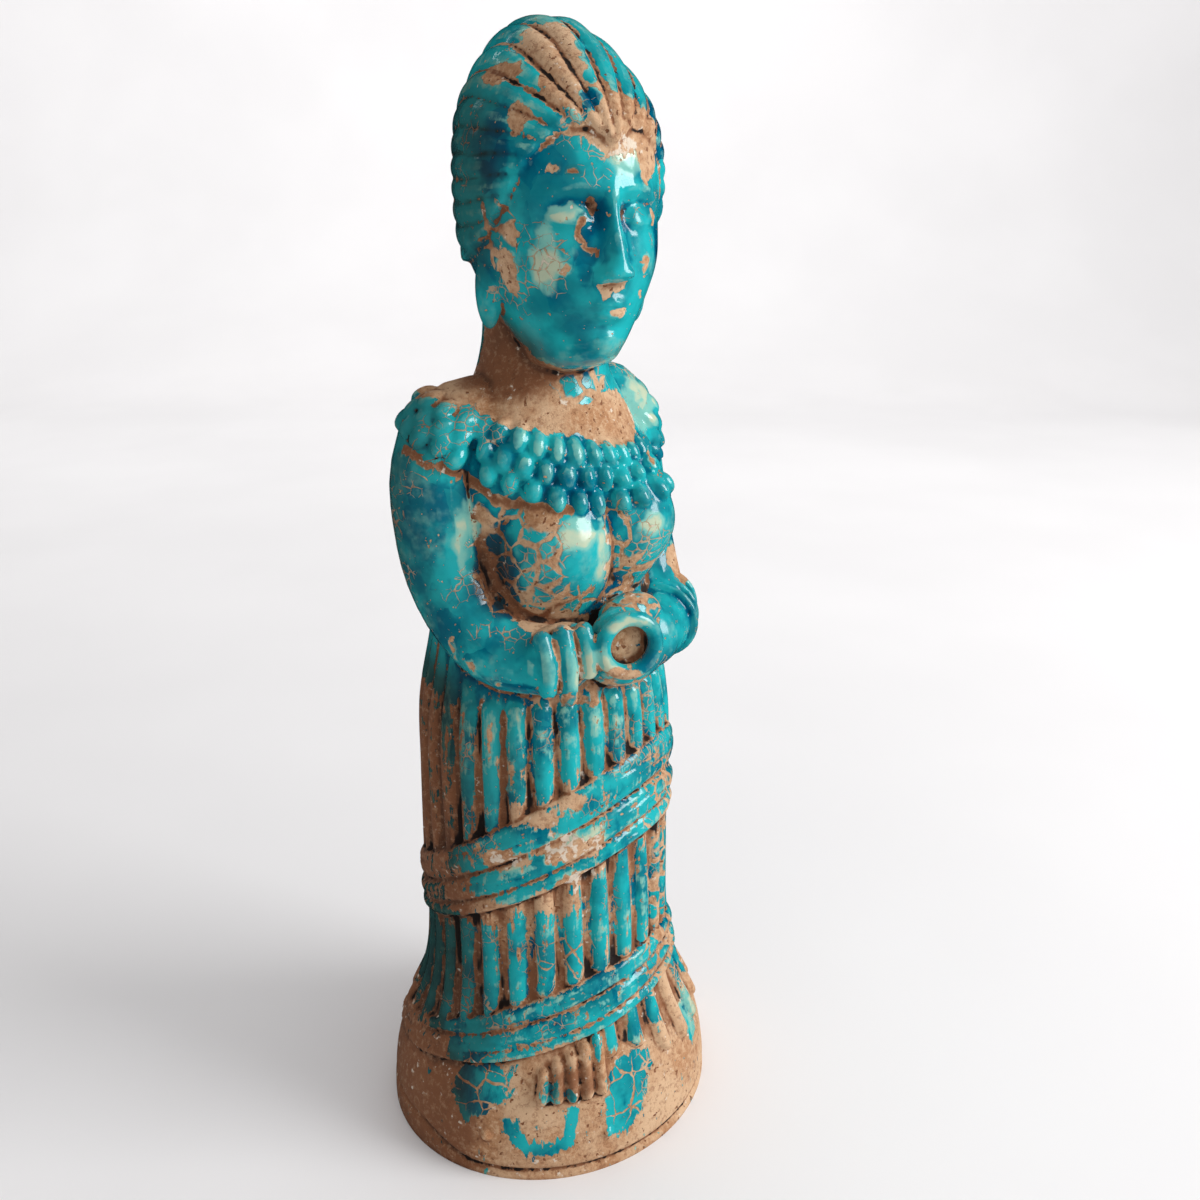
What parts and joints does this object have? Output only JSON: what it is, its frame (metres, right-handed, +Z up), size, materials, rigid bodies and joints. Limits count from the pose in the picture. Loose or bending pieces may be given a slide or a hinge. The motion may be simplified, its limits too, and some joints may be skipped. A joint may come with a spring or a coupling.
{
  "type": "pottery figurine",
  "caption": "Standing woman in a pleated, wrapped dress with a garland of beads, holding a small round dish: glazed clay, fired in one piece with a flared flat base.",
  "frame": {"origin": "middle of the flat underside of the base, on the surface it stands on", "axes": "+Z up through the figure, the body faces -Y, the figure's own left hand is on the +X side"},
  "size_m": [0.0928, 0.0868, 0.2794],
  "materials": {
    "glazed_clay": "glossy crackled turquoise glaze over bare tan clay, worn"
  },
  "bodies": {
    "root": {"figurine": "glazed_clay"}
  },
  "joints": []
}
